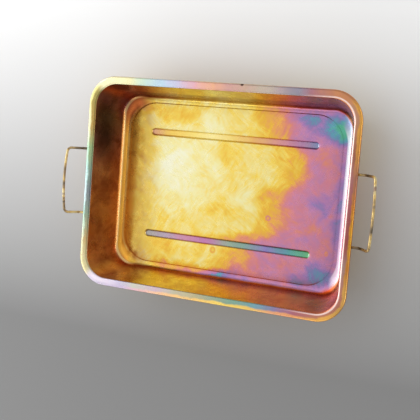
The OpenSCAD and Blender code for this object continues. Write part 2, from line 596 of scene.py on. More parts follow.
    def build(self) -> Piece:
        """Model the tray.

        Returns:
            The finished piece, with its sheet thickness.
        """
        bm = bmesh.new()
        grid, last = self.floor_grid(bm)
        edge = self.floor_ring(grid, last)
        for end in End:
            self.press_runner(bm, grid, last[1], end)
        for station in self.run.stations():
            edge = extrude_ring(bm, edge, self.outline(station))
        bmesh.ops.recalc_face_normals(bm, faces=bm.faces)
        floor_face = max(bm.faces, key=lambda face: face.calc_area())
        if floor_face.normal.z < 0:
            bmesh.ops.reverse_faces(bm, faces=bm.faces)
        self.wear_in(bm)
        piece = make_piece("pan_sheet", bm, "tray", "pan")
        shell = piece.modifiers.new("sheet", "SOLIDIFY")
        shell.thickness = self.run.sheet
        shell.offset = -1
        shell.use_even_offset = True
        shell.material_offset = 1
        return piece


# --------------------------------------------------------- handles and clips


@dataclass
class WireHandle:
    """A drop handle bent from one piece of round wire."""

    side: Side
    wire: float = 2 * MM
    leg_pitch: float = 106.8 * MM
    root_bend: float = 4 * MM
    pin_length: float = 13.2 * MM
    level: float = 13.9907 * MM
    crank_bend: float = 6 * MM
    crank: float = 52.0
    rise: float = 18.6763 * MM
    grip_bend: float = 7 * MM
    bow_radius: float = 380 * MM
    facets: int = 28
    bend_facet: float = 9.0
    bow_facet: float = 0.8
    end_bevel: float = 0.35 * MM

    @property
    def hinge(self) -> Vector:
        """Middle of the hinge axis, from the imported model's joint."""
        joints = {j["name"]: j["pos_m"] for j in frame["record"]["behaviour"]["joints"]}
        return Vector(joints[f"{self.side.name.lower()}_handle_hinge"])

    def close_end(self, bm: Mesh, loop: list[Edge]) -> None:
        """Cap the wire's cut end and break its sharp edge.

        Args:
            bm: Mesh of the wire.
            loop: Edges of its open end.
        """
        cap = bmesh.ops.contextual_create(bm, geom=loop)["faces"][0]
        bmesh.ops.bevel(
            bm, geom=list(cap.edges), offset=self.end_bevel, segments=3, profile=0.5,
            affect="EDGES", material=-1,
        )

    def route(self) -> list[tuple[float, float, float, Vector | None]]:
        """Straight stretches of the wire and the bends that follow them.

        Returns:
            Length, bend radius, angle and the way it turns; none: the same way.
        """
        outward, along = Vector((self.side.value, 0, 0)), Vector((0, -1, 0))
        half = self.leg_pitch / 2 - self.grip_bend
        bow = math.degrees(math.asin(half / (self.bow_radius - self.grip_bend)))
        return [
            (self.pin_length, self.root_bend, 90.0, outward),
            (self.level, self.crank_bend, self.crank, Vector((0, 0, 1))),
            (self.rise, self.grip_bend, 90 - bow, along),
            (0.0, self.bow_radius, 2 * bow, None),
            (0.0, self.grip_bend, 90 - bow, None),
            (self.rise, self.crank_bend, self.crank, -outward),
            (self.level, self.root_bend, 90.0, along),
        ]

    def build(self) -> Piece:
        """Model the handle.

        Returns:
            The finished piece, at rest.
        """
        bm = bmesh.new()
        heading, turn = Vector((0, -1, 0)), Vector()
        place = self.hinge - heading * (self.leg_pitch / 2 + self.root_bend + self.pin_length)
        upright = Matrix.Translation(place) @ Matrix.Rotation(math.pi / 2, 4, "X")
        made = bmesh.ops.create_circle(bm, segments=self.facets, radius=self.wire, matrix=upright)
        loop = first = list(dict.fromkeys(e for v in made["verts"] for e in v.link_edges))
        for length, radius, angle, towards in self.route():
            if length > 0:
                loop = push(bm, loop, heading * length)
                place = place + heading * length
            if towards is None:
                towards = turn.cross(heading)
            side = (towards - heading * towards.dot(heading)).normalized()
            turn = heading.cross(side).normalized()
            centre = place + side * radius
            facet = self.bow_facet if radius == self.bow_radius else self.bend_facet
            loop = bend(bm, loop, centre, turn, angle, math.ceil(angle / facet))
            rotation = Matrix.Rotation(math.radians(angle), 3, turn)
            place = centre + rotation @ (place - centre)
            heading = rotation @ heading
        self.close_end(bm, push(bm, loop, heading * self.pin_length))
        self.close_end(bm, [e for e in first if e.is_valid])
        bmesh.ops.remove_doubles(bm, verts=bm.verts, dist=0.002 * MM)
        bmesh.ops.recalc_face_normals(bm, faces=bm.faces)
        name = self.side.name.lower()
        node = f"handle_{name}"
        return make_piece(f"{node}_wire", bm, f"{name}_handle", node)


@dataclass
class LoopClip:
    """A strap folded round a handle's pin and spot-welded to the end wall."""

    side: Side
    end: End
    strap: float = 1 * MM
    width: float = 10 * MM
    tab: float = 13 * MM
    bore: float = 2.06 * MM
    draft: float = SheetRun.draft
    relief: float = 1.2 * MM
    overlap: float = 0.5 * MM
    cells_across: int = 12
    weld_reach: float = 2.4 * MM
    weld_depth: float = 0.28 * MM
    rounding: float = 0.15 * MM

    def lay_strap(self, bm: Mesh) -> None:
        """Lay the strap's middle surface, flat against the plane x = 0.

        Args:
            bm: Mesh to build in; the pin's axis is local Y through the origin.
        """
        middle = self.bore + self.strap / 2
        relief_x = self.strap - middle + self.relief
        drop = math.sqrt((middle + self.relief) ** 2 - relief_x**2)
        leave = math.degrees(math.atan2(-drop, relief_x))
        row = []
        for i in range(self.cells_across + 1):
            start = (-middle, self.width * (i / self.cells_across - 0.5), -self.tab)
            row += bmesh.ops.create_vert(bm, co=start)["vert"]
        edges = []
        for pair in zip(row, row[1:]):
            edges += bmesh.ops.contextual_create(bm, geom=list(pair))["edges"]
        across = Vector((0, 1, 0))
        edges = push(bm, edges, Vector((0, 0, self.tab)), 14)
        edges = bend(bm, edges, Vector(), across, 180 - leave, 26)
        edges = bend(bm, edges, Vector((relief_x, 0, -drop)), across, leave, 8)
        push(bm, edges, Vector((0, 0, drop - self.tab + self.overlap)), 10)

    def press_weld(self, bm: Mesh) -> None:
        """Sink the dimple that the spot welder leaves in the tab.

        Args:
            bm: Mesh of the strap.
        """
        reach = self.weld_reach
        for vert in bm.verts:
            away = math.hypot(vert.co.y, vert.co.z + 0.7 * self.tab)
            if vert.co.x < 0 and away < reach:
                vert.co.x -= self.weld_depth * (1 - smoothstep(0.35 * reach, reach, away))

    def build(self) -> Piece:
        """Model the clip.

        Returns:
            The finished piece, in its place on the end wall.
        """
        bm = bmesh.new()
        self.lay_strap(bm)
        self.press_weld(bm)
        node = f"clip_{self.side.name.lower()}_{self.end.name.lower()}"
        low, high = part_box(node)
        hinge = WireHandle(self.side).hinge
        lean = Matrix.Rotation(math.radians(self.draft), 4, "Y")
        mirrored = Matrix.Diagonal((self.side.value, 1, 1, 1))
        seat = Matrix.Translation((hinge.x, (low[1] + high[1]) / 2, hinge.z))
        bmesh.ops.transform(bm, matrix=seat @ mirrored @ lean, verts=bm.verts)
        bmesh.ops.recalc_face_normals(bm, faces=bm.faces)
        piece = make_piece(f"{node}_strap", bm, "tray", node)
        shell = piece.modifiers.new("strap", "SOLIDIFY")
        shell.thickness = self.strap
        shell.offset = 0
        rounding = piece.modifiers.new("rounding", "BEVEL")
        rounding.width = self.rounding
        rounding.segments = 2
        rounding.limit_method = "ANGLE"
        return piece


# ------------------------------------------------------------------ finishes


def linear(tone: Tone) -> tuple[float, ...]:
    """Turn a display colour into the opaque linear one that shaders take."""
    shares = [channel / 255 for channel in tone]
    return (*(c / 12.92 if c <= 0.04045 else ((c + 0.055) / 1.055) ** 2.4 for c in shares), 1.0)


def spread(tones: tuple[Tone, ...], low: float = 0.0, high: float = 1.0) -> Stops:
    """Space tones evenly over a stretch of a colour ramp."""
    gap = (high - low) / (len(tones) - 1)
    return [(low + gap * i, tone) for i, tone in enumerate(tones)]


class Signal:
    """A value in a material's node graph."""

    def __init__(self, graph: "Graph", socket: bpy.types.NodeSocket) -> None:
        """Take a node's output."""
        self.graph, self.socket = graph, socket

    def __add__(self, other: "Value") -> "Signal":
        """Sum of both."""
        return self.graph.math("ADD", self, other)

    def __sub__(self, other: "Value") -> "Signal":
        """This less the other."""
        return self.graph.math("SUBTRACT", self, other)

    def __rsub__(self, other: float) -> "Signal":
        """A number less this."""
        return self.graph.math("SUBTRACT", other, self)

    def __mul__(self, other: "Value") -> "Signal":
        """Product of both."""
        return self.graph.math("MULTIPLY", self, other)

    def __abs__(self) -> "Signal":
        """Size without its sign."""
        return self.graph.math("ABSOLUTE", self)

    def step(self, low: float, high: float, start: float = 0.0, end: float = 1.0) -> "Signal":
        """Smooth change as this goes from low to high.

        Args:
            low: Where the change starts; it may be above high.
            high: Where it ends.
            start: Result on low's side.
            end: Result on high's side.

        Returns:
            The smooth result.
        """
        limits = (low, high, start, end) if low <= high else (high, low, end, start)
        names = ("From Min", "From Max", "To Min", "To Max")
        inputs = {"Value": self, **dict(zip(names, limits))}
        node = self.graph.add("MapRange", inputs, interpolation_type="SMOOTHSTEP")
        return Signal(self.graph, node.outputs["Result"])


Value = Signal | float | tuple[float, ...]


class Graph:
    """Writes a material's node graph."""

    def __init__(self, name: str, metallic: float = 0.0) -> None:
        """Start a material.

        Args:
            name: Name of the material.
            metallic: How far its surface is metal.
        """
        self.material = bpy.data.materials.new(name)
        self.material.use_nodes = True
        self.tree = self.material.node_tree
        self.tree.nodes.clear()
        self.surface = self.add("BsdfPrincipled", {"Metallic": metallic})
        self.add("OutputMaterial", {"Surface": Signal(self, self.surface.outputs[0])})
        self.place = Signal(self, self.add("TexCoord", {}).outputs["Object"])
        self.x, self.y, self.z = self.split(self.place)

    def feed(self, socket: bpy.types.NodeSocket, value: Value) -> None:
        """Link a socket to a signal, or set it to a constant.

        Args:
            socket: Socket of a node.
            value: Signal, number, vector or, for a colour, tone.
        """
        if isinstance(value, Signal):
            self.tree.links.new(value.socket, socket)
        else:
            socket.default_value = linear(value) if socket.type == "RGBA" else value

    def add(
        self, kind: str, inputs: dict[str | int, Value], **settings: str | bool
    ) -> bpy.types.Node:
        """Add a node.

        Args:
            kind: Blender's name of the node, without its prefix.
            inputs: Signals or constants for its sockets.
            settings: Its own choices.

        Returns:
            The node.
        """
        node = self.tree.nodes.new(f"ShaderNode{kind}")
        for name, choice in settings.items():
            setattr(node, name, choice)
        for key, value in inputs.items():
            self.feed(node.inputs[key], value)
        return node

    def math(self, operation: str, *values: Value) -> Signal:
        """Add one arithmetic step, by Blender's name of it."""
        node = self.add("Math", dict(enumerate(values)), operation=operation)
        return Signal(self, node.outputs[0])

    def vector(self, operation: str, *values: Value) -> Signal:
        """Add one vector step, by Blender's name of it."""
        node = self.add("VectorMath", dict(enumerate(values)), operation=operation)
        return Signal(self, node.outputs[1 if operation == "LENGTH" else 0])

    def split(self, vector: Signal) -> list[Signal]:
        """Take a vector's three parts."""
        return [Signal(self, part) for part in self.add("SeparateXYZ", {0: vector}).outputs]

    def join(self, *parts: Value) -> Signal:
        """Make a vector of its parts."""
        return Signal(self, self.add("CombineXYZ", dict(enumerate(parts))).outputs[0])

    def cloud(
        self, scale: float, detail: float = 3.0, roughness: float = 0.55, twist: float = 0.0,
        place: Signal | None = None, output: str = "Fac",
    ) -> Signal:
        """Add cloudy noise.

        Args:
            scale: Clouds per metre.
            detail: Octaves.
            roughness: Strength of the finer octaves.
            twist: How far the pattern folds into itself.
            place: Where to read it, or the place on the piece.
            output: Fac for one channel, Color for three.

        Returns:
            Noise around 0.5.
        """
        node = self.add("TexNoise", {
            "Vector": place or self.place, "Scale": scale, "Detail": detail,
            "Roughness": roughness, "Distortion": twist,
        })
        return Signal(self, node.outputs[output])

    def warp(self, place: Signal, reach: float, *cloud: float) -> Signal:
        """Shift a place sideways by a cloud's noise, up to about half the reach."""
        away = self.vector("SUBTRACT", self.cloud(*cloud, output="Color"), (0.5, 0.5, 0.5))
        return self.vector("MULTIPLY_ADD", away, (reach, reach, 0.0), place)

    def ramp(self, value: Signal, stops: Stops) -> Signal:
        """Look a colour up.

        Args:
            value: Place on the ramp.
            stops: Places and their tones, ascending.

        Returns:
            The colour.
        """
        node = self.add("ValToRGB", {0: value})
        elements = node.color_ramp.elements
        while len(elements) < len(stops):
            elements.new(1.0)
        for element, (position, tone) in zip(elements, stops):
            element.position = position
            element.color = linear(tone)
        return Signal(self, node.outputs[0])

    def curve(
        self, value: Signal, half_in: float, half_out: float, points: tuple[Pair, ...]
    ) -> Signal:
        """Follow a smooth curve through points.

        Args:
            value: Signal to look up.
            half_in: The curve covers values up to this far from 0.
            half_out: Its results lie up to this far from 0.
            points: The curve's points, ascending, at least its two ends.

        Returns:
            The result.
        """
        node = self.add("FloatCurve", {"Value": value * (0.5 / half_in) + 0.5})
        knots = node.mapping.curves[0].points
        while len(knots) < len(points):
            knots.new(0.5, 0.5)
        for knot, (x, y) in zip(knots, points):
            knot.location = (0.5 + 0.5 * x / half_in, 0.5 + 0.5 * y / half_out)
        node.mapping.update()
        return (Signal(self, node.outputs[0]) - 0.5) * (2 * half_out)

    def blend(self, amount: Value, under: Value, over: Value, mode: str = "MIX") -> Signal:
        """Lay one colour over another.

        Args:
            amount: How much of the upper one shows.
            under: Lower colour.
            over: Upper colour.
            mode: Blender's name of the blend.

        Returns:
            The mixed colour.
        """
        inputs = {0: amount, 6: under, 7: over}
        node = self.add("Mix", inputs, data_type="RGBA", blend_type=mode, clamp_result=True)
        return Signal(self, node.outputs[2])

    def coat(
        self, colour: Signal, rough: Signal, grain: Signal, strength: float, depth: float
    ) -> bpy.types.Material:
        """Give the surface its colour, its gloss and its fine relief.

        Args:
            colour: Base colour.
            rough: Roughness.
            grain: Height of the relief.
            strength: How strongly the relief shows.
            depth: Height in metres that 1 of grain stands for.

        Returns:
            The finished material.
        """
        bump = self.add("Bump", {"Strength": strength, "Distance": depth, "Height": grain})
        self.feed(self.surface.inputs["Normal"], Signal(self, bump.outputs[0]))
        self.feed(self.surface.inputs["Base Color"], colour)
        self.feed(self.surface.inputs["Roughness"], rough)
        return self.material


@dataclass(frozen=True)
class Patch:
    """A soft elliptical patch, such as film that grew thinner or thicker, a nick, or a spot of
    painted shade or painted highlight.
    """

    x: float
    y: float
    reach_x: float
    reach_y: float
    film: float = 0.0
    soft: float = 0.85

    def mask(self, g: Graph, place: Signal, size: float = 1.0) -> Signal:
        """Show where the patch is.

        Args:
            g: Graph to write in.
            place: Where to read it.
            size: Share of its full size.

        Returns:
            1 inside and 0 outside.
        """
        wide, deep = 1 / (self.reach_x * size), 1 / (self.reach_y * size)
        shift = (-self.x * wide, -self.y * deep, 0.0)
        scaled = g.vector("MULTIPLY_ADD", place, (wide, deep, 0.0), shift)
        return g.vector("LENGTH", scaled).step(1.0, 1.0 - self.soft)


@dataclass(frozen=True)
class Band:
    """Film colours along one side, evenly spaced from its low end."""

    half: float
    tones: tuple[Tone, ...]

    def colour(self, g: Graph, along: Signal) -> Signal:
        """Colour of the band at a place along its side."""
        return g.ramp(along * (0.5 / self.half) + 0.5, spread(self.tones))


# Colours that chromate film shows as it thickens
FILM_COLOURS = [
    (0.00, (232, 230, 200)), (0.13, (232, 222, 158)), (0.27, (232, 202, 92)),
    (0.37, (226, 178, 64)), (0.45, (224, 162, 90)), (0.53, (216, 138, 112)),
    (0.61, (206, 130, 144)), (0.70, (188, 130, 168)), (0.78, (166, 124, 176)),
    (0.85, (132, 126, 174)), (0.92, (98, 154, 176)), (1.00, (92, 176, 148)),
]

SIDE_HALF = 0.18
END_HALF = 0.13
RUNNER_HALF = 0.147

BACK_WALL = Band(SIDE_HALF, (
    (160, 80, 50), (184, 108, 54), (204, 148, 62), (224, 200, 84), (232, 214, 96),
    (228, 214, 130), (224, 208, 118), (222, 192, 84), (226, 156, 60), (216, 122, 52),
    (202, 126, 54), (204, 120, 50),
))
FRONT_WALL = Band(SIDE_HALF, (
    (228, 180, 120), (220, 184, 108), (238, 210, 90), (246, 222, 116), (242, 218, 98),
    (240, 204, 90), (238, 186, 74), (232, 186, 74), (228, 184, 78), (226, 176, 80),
    (228, 168, 78), (240, 150, 66),
))
LEFT_WALL = Band(END_HALF, (
    (196, 132, 86), (184, 120, 80), (192, 128, 74), (190, 126, 78), (184, 120, 78),
    (174, 114, 78), (160, 100, 80), (132, 88, 90), (124, 96, 86), (130, 80, 82),
))
RIGHT_WALL = Band(END_HALF, (
    (206, 130, 84), (196, 120, 96), (204, 140, 80), (186, 116, 104), (198, 132, 84),
))
BACK_RIM = Band(SIDE_HALF, (
    (240, 232, 186), (234, 228, 178), (196, 218, 200), (184, 206, 222), (200, 192, 216),
    (222, 172, 176), (228, 172, 138), (204, 158, 150), (198, 164, 146), (190, 174, 158),
    (176, 158, 158), (146, 142, 156), (170, 118, 126), (200, 136, 96),
))
FRONT_RIM_INNER = Band(SIDE_HALF, (
    (226, 214, 226), (196, 186, 210), (198, 196, 180), (202, 180, 190), (190, 184, 160),
    (186, 176, 138), (158, 166, 142), (132, 164, 144), (118, 162, 172), (142, 132, 168),
    (178, 110, 124), (196, 128, 104),
))
FRONT_RIM_OUTER = Band(SIDE_HALF, (
    (206, 196, 214), (200, 184, 210), (232, 186, 188), (244, 196, 150), (246, 200, 132),
    (246, 202, 118), (248, 214, 108), (240, 200, 108), (236, 172, 128), (242, 168, 116),
    (248, 186, 96),
))
LEFT_RIM_INNER = Band(END_HALF, (
    (196, 186, 142), (178, 152, 104), (134, 150, 128), (118, 124, 128), (124, 142, 126),
    (136, 156, 112), (172, 140, 78), (160, 146, 84),
))
LEFT_RIM_OUTER = Band(END_HALF, (
    (220, 206, 156), (206, 204, 168), (160, 196, 182), (196, 216, 220), (176, 214, 204),
    (180, 212, 182), (220, 214, 168), (226, 214, 140),
))
RIGHT_RIM_INNER = Band(END_HALF, (
    (190, 124, 106), (170, 136, 126), (160, 88, 82), (168, 100, 104), (170, 114, 110),
    (156, 102, 80), (188, 136, 108),
))
RIGHT_RIM_OUTER = Band(END_HALF, (
    (232, 178, 96), (204, 132, 60), (224, 164, 58), (214, 138, 62), (176, 120, 100),
    (220, 154, 78), (228, 168, 82),
))
BACK_RUNNER = Band(RUNNER_HALF, (
    (206, 150, 128), (232, 196, 96), (236, 214, 122), (238, 222, 150), (232, 206, 118),
    (222, 174, 104), (204, 142, 140), (182, 128, 160), (118, 136, 170),
))
FRONT_RUNNER = Band(RUNNER_HALF, (
    (170, 166, 156), (176, 160, 176), (196, 140, 166), (186, 124, 168), (150, 166, 150),
    (130, 160, 150), (140, 124, 182), (96, 156, 160), (112, 184, 116),
))
WIRE_TONES = (
    (88, 80, 64), (122, 108, 88), (166, 142, 102), (210, 180, 114), (224, 206, 150),
    (152, 128, 108),
)
STRAP_TONES = ((150, 112, 62), (206, 164, 82), (234, 206, 118), (216, 168, 150))


@dataclass
class PanFinish:
    """Iridescent yellow chromate on the face of the tray that holds the oil, with painted
    highlights and painted shade.
    """

    pan: DrawnPan
    thin: float = 0.23
    nick: Patch = Patch(0.0375, 0.1700, 0.0036, 0.0028, soft=0.7)
    left_wall_shade: Patch = Patch(0.080, 0.052, 0.075, 0.040, soft=0.9)
    runner_highlight_x: float = 0.1462
    groove_corner: float = 71 * MM
    crease_corner: float = 52 * MM
    rim_corner: float = 37 * MM
    turn: tuple[Pair, ...] = (
        (-0.140, -0.030), (-0.122, 0.026), (-0.098, 0.040), (-0.072, 0.062),
        (-0.050, 0.100), (-0.025, 0.108), (0.000, 0.099), (0.025, 0.126),
        (0.050, 0.132), (0.070, 0.120), (0.095, 0.086), (0.120, 0.087), (0.140, 0.072),
    )
    patches: tuple[Patch, ...] = tuple(Patch(*row) for row in (
        (-0.098, 0.028, 0.062, 0.090, -0.20), (-0.038, 0.104, 0.036, 0.040, -0.17),
        (-0.042, 0.030, 0.048, 0.070, -0.10), (0.030, -0.012, 0.045, 0.030, -0.07),
        (0.010, -0.077, 0.105, 0.015, 0.17), (-0.030, -0.138, 0.095, 0.015, 0.28),
        (-0.110, -0.140, 0.036, 0.014, 0.18), (-0.105, -0.108, 0.050, 0.018, 0.06),
        (-0.165, 0.128, 0.045, 0.022, 0.24), (0.176, 0.110, 0.034, 0.036, 0.20),
        (0.150, 0.116, 0.062, 0.046, 0.14), (0.120, 0.132, 0.050, 0.016, 0.14),
        (0.150, 0.070, 0.030, 0.026, -0.06), (0.135, 0.048, 0.026, 0.040, 0.10),
        (0.120, -0.020, 0.030, 0.040, -0.03), (-0.020, -0.030, 0.060, 0.012, 0.06),
        (-0.010, 0.060, 0.060, 0.018, 0.06), (-0.105, 0.118, 0.050, 0.026, 0.12),
        (0.192, 0.010, 0.020, 0.130, 0.16), (0.152, -0.008, 0.032, 0.036, 0.10),
        (0.152, -0.052, 0.026, 0.014, -0.10), (0.172, -0.072, 0.016, 0.018, -0.06),
        (0.168, -0.112, 0.042, 0.032, 0.20), (0.125, -0.126, 0.026, 0.014, 0.18),
        (0.100, -0.100, 0.030, 0.016, -0.10),
    ))
    rings: tuple[Patch, ...] = (
        Patch(0.072, -0.036, 0.0060, 0.0060, 0.20, 0.5),
        Patch(-0.019, -0.100, 0.0065, 0.0075, 0.24, 0.5),
        Patch(0.172, -0.081, 0.0045, 0.0060, -0.20, 0.8),
    )

    def __post_init__(self) -> None:
        """Start the material, with its places warped so that no patch has a plain edge."""
        self.g = g = Graph("pan_chromate", 0.9)
        self.drift = g.warp(g.warp(g.place, 0.050, 15), 0.016, 70, 4, 0.6)
        self.x, self.y, _ = g.split(self.drift)

    def outwards(self, corner: float) -> Signal:
        """Distance outside the outline through the mouth bend's centre.

        Args:
            corner: Corner radius to reckon with.

        Returns:
            Distance in metres, negative inside.
        """
        g = self.g
        over_x = abs(g.x) - (self.pan.half_x - corner)
        over_y = abs(g.y) - (self.pan.half_y - corner)
        beyond = g.vector("MAXIMUM", g.join(over_x, over_y, 0.0), (0.0, 0.0, 0.0))
        within = g.math("MINIMUM", g.math("MAXIMUM", over_x, over_y), 0.0)
        return g.vector("LENGTH", beyond) + within - corner

    def around(self, front: Signal, back: Signal, left: Signal, right: Signal) -> Signal:
        """Join the colours of the four sides into one.

        Args:
            front: Colour of the front.
            back: Colour of the back.
            left: Colour of the left end.
            right: Colour of the right end.

        Returns:
            The colour of whichever side is nearest.
        """
        g = self.g
        side = g.blend(self.y.step(-0.01, 0.01), front, back)
        end = g.blend(self.x.step(-0.01, 0.01), left, right)
        nearer_end = (abs(g.x) - self.pan.half_x) - (abs(g.y) - self.pan.half_y)
        return g.blend(nearer_end.step(-0.012, 0.012), side, end)

    def floor_film(self) -> Signal:
        """Thickness of the film over the floor.

        Returns:
            Position on the film's colour scale.
        """
        g = self.g
        beyond = self.x - g.curve(self.y, 0.14, 0.2, self.turn)
        film = beyond.step(-0.070, -0.006, self.thin, self.thin + 0.19)
        film = film + beyond.step(-0.016, 0.018, 0.0, 0.20) + beyond.step(0.018, 0.060, 0.0, 0.05)
        for patch in self.patches:
            film = film + patch.mask(g, self.drift) * patch.film
        for ring in self.rings:
            rim = ring.mask(g, g.place) - ring.mask(g, g.place, 0.5) * 0.6
            film = film + rim * ring.film
        return film

    def strokes(self, angle: float, fineness: float) -> Signal:
        """Faint parallel marks left by wiping.

        Args:
            angle: Direction of the marks.
            fineness: Marks per metre.

        Returns:
            Marks between 0 and 1.
        """
        g = self.g
        wavy = g.warp(g.place, 0.030, 18, 2)
        heading = (0.0, 0.0, math.radians(angle))
        turned = Signal(g, g.add("Mapping", {"Vector": wavy, "Rotation": heading}).outputs[0])
        place = g.vector("MULTIPLY", turned, (fineness / 7, fineness, fineness))
        return g.cloud(1.0, 3, 0.6, 0.6, place)

    def floor_colour(self) -> Signal:
        """Colour of the floor, its step and the foot of the walls, with painted highlights and
        painted shade.

        Returns:
            The colour.
        """
        g = self.g
        clouds = g.cloud(26, 6, 0.62, 0.9)
        film = self.floor_film() + (clouds - 0.5) * 0.46
        wiped = g.cloud(12, 2).step(0.40, 0.60)
        calm = film.step(0.42, 0.60, 0.30, 0.12)
        film = film + (self.strokes(38, 230) - 0.5) * wiped * calm
        film = film + (self.strokes(-58, 260) - 0.5) * (1.0 - wiped) * calm
        colour = g.ramp(film, FILM_COLOURS)
        # Darker amber towards the floor's left edge: partly the film's warmer tone, partly
        # painted shade.
        amber_and_shade = spread(((190, 126, 40), (208, 160, 58), (220, 186, 92)), 0.38, 0.62)
        colour = g.blend(self.x.step(-0.118, -0.176) * 0.92, colour, g.ramp(clouds, amber_and_shade))
        # Painted highlight: bright orange near the floor panel's left edge.
        colour = g.blend(g.x.step(-0.166, -0.180) * 0.8, colour, (250, 178, 66))
        colour = self.foot_colour(colour)
        panel = self.pan.run.panel_height
        sunken = g.z.step(panel - 0.8 * MM, panel - 2 * MM)
        for end, band in ((End.FRONT, FRONT_RUNNER), (End.BACK, BACK_RUNNER)):
            middle = end.value * self.pan.runner_pitch / 2
            inside = abs(g.y - middle).step(0.0085, 0.0055) * sunken
            colour = g.blend(inside, colour, band.colour(g, self.x))
            # Painted highlight: a white spot at the right end of each runner's recess.
            tip_highlight = Patch(self.runner_highlight_x, middle, 0.0042, 0.0080, soft=0.8).mask(g, g.place)
            colour = g.blend(tip_highlight * inside, colour, (250, 244, 252))
        return colour

    def foot_colour(self, colour: Signal) -> Signal:
        """Paint highlights in the left groove and on the right foot fillet, and shade at the
        fillet's back left corner, over the floor's colour.

        Args:
            colour: The floor's colour.

        Returns:
            The colour.
        """
        g = self.g
        out = self.outwards(self.groove_corner)
        # Painted highlight: bright gold in the groove round the floor panel, at the left end.
        groove = out.step(-0.0285, -0.0270) * out.step(-0.0242, -0.0256)
        colour = g.blend(groove * g.x.step(-0.17, -0.18), colour, (252, 206, 110))
        # Painted highlight: pale lavender-white on the right foot fillet, turning dark blue at
        # its back end.
        fillet = out.step(-0.0262, -0.0238) * g.x.step(0.178, 0.188)
        pale = g.ramp(self.y * (0.5 / END_HALF) + 0.5, [
            (0.05, (246, 226, 244)), (0.3, (240, 198, 224)), (0.6, (244, 232, 246)),
            (0.88, (228, 240, 248)), (0.98, (120, 130, 170)),
        ])
        colour = g.blend(fillet * 0.85, colour, pale)
        # Painted shade: a dark red-brown band in the fillet at the back left corner.
        fillet_shade = g.y.step(0.070, 0.118) * g.x.step(-0.140, -0.172) * out.step(-0.034, -0.024)
        return g.blend(fillet_shade * 0.85, colour, (176, 76, 44))

    def left_crease_highlight(self, colour: Signal) -> Signal:
        """Paint a pale highlight along the left foot fillet's upper part.

        Args:
            colour: Colour of the walls and the floor.

        Returns:
            The colour.
        """
        g = self.g
        out = self.outwards(self.crease_corner)
        line = out.step(-0.0196, -0.0184) * out.step(-0.0152, -0.0164)
        line = line * g.x.step(-0.150, -0.175) * g.y.step(0.140, 0.080, 0.35, 0.85)
        return g.blend(line, colour, (252, 210, 138))

    def wall_colour(self) -> Signal:
        """Colour of the walls, with painted shade on the back and left walls.

        Returns:
            The colour.
        """
        g, x, y, z = self.g, self.x, self.y, self.g.z
        # Painted shade: the back wall darker and browner over its lower half, above the foot.
        back_wall_shade = z.step(0.044, 0.030) * z.step(0.004, 0.008)
        back = g.blend(back_wall_shade * 0.62, BACK_WALL.colour(g, x), (138, 84, 26), "MULTIPLY")
        # Painted shade: darker and redder low on the back wall towards its right end.
        back_corner_shade = z.step(0.052, 0.026) * x.step(0.070, 0.120)
        back = g.blend(back_corner_shade * 0.8, back, (206, 92, 60), "MULTIPLY")
        foot = z.step(0.036, 0.010)
        front = g.blend(foot * 0.85, FRONT_WALL.colour(g, x), (196, 96, 52), "MULTIPLY")
        # Painted shade: a dark patch on the left wall.
        left_wall_shade = self.left_wall_shade.mask(g, g.join(y, z, 0.0))
        left = g.blend(left_wall_shade * 0.75, LEFT_WALL.colour(g, y), (70, 50, 48), "MULTIPLY")
        # Painted shade: blotches that darken the left wall further.
        blotchy_left_shade = g.cloud(21, 5, 0.62, 0.5).step(0.60, 0.36, 0.0, 0.6)
        left = g.blend(blotchy_left_shade, left, (158, 104, 96), "MULTIPLY")
        walls = self.around(front, back, left, RIGHT_WALL.colour(g, y))
        mottle = g.cloud(34, 5, 0.62, 0.8).step(0.58, 0.36, 0.0, 0.6)
        return g.blend(mottle, walls, (214, 178, 150), "MULTIPLY")

    def rim_colour(self) -> Signal:
        """Colour of the flange and the rolled bead, with a painted highlight on the right mouth
        bend.

        Returns:
            The colour.
        """
        g, x, y = self.g, self.x, self.y
        wander = (g.cloud(45, 3, 0.5) - 0.5) * 0.009
        outer = (wander + self.outwards(self.rim_corner)).step(0.0030, 0.0062)
        front, left, right = (
            g.blend(outer, inner_band.colour(g, along), outer_band.colour(g, along))
            for inner_band, outer_band, along in (
                (FRONT_RIM_INNER, FRONT_RIM_OUTER, x),
                (LEFT_RIM_INNER, LEFT_RIM_OUTER, y),
                (RIGHT_RIM_INNER, RIGHT_RIM_OUTER, y),
            )
        )
        colour = self.around(front, BACK_RIM.colour(g, x), left, right)
        out = self.outwards(self.pan.run.mouth_corner)
        # Painted highlight: a pinkish-white line along the mouth bend at the right end.
        mouth_highlight = out.step(-0.0026, -0.0016) * out.step(0.0006, -0.0006) * g.x.step(0.120, 0.190)
        return g.blend(mouth_highlight * 0.75, colour, (252, 228, 222))

    def build(self) -> bpy.types.Material:
        """Write the material.

        Returns:
            The finished material.
        """
        g, top = self.g, self.pan.run.rim_height
        ragged = g.z + (g.cloud(30, 2) - 0.5) * 0.004
        colour = g.blend(ragged.step(0.0044, 0.0072), self.floor_colour(), self.wall_colour())
        # Painted highlight along the left foot fillet.
        colour = self.left_crease_highlight(colour)
        colour = g.blend(g.z.step(top - 0.0024, top - 0.0010), colour, self.rim_colour())
        under = self.outwards(self.rim_corner).step(0.0055, 0.0085)
        under = under * g.z.step(top - 0.0030, top - 0.0055)
        colour = g.blend(under, colour, (168, 128, 66))
        nick = self.nick.mask(g, g.place) * g.z.step(top - 0.006, top - 0.004)
        colour = g.blend(nick, colour, (70, 40, 20))
        colour = g.blend(0.10, colour, g.cloud(160, 4, 0.6, output="Color"), "OVERLAY")
        streak = self.strokes(38, 420)
        rough = streak * 0.12 + g.cloud(55, 5, 0.6).step(0.32, 0.68, 0.18, 0.30)
        return g.coat(colour, rough, g.cloud(620, 3, 0.6) + streak * 0.8, 0.22, 0.06 * MM)


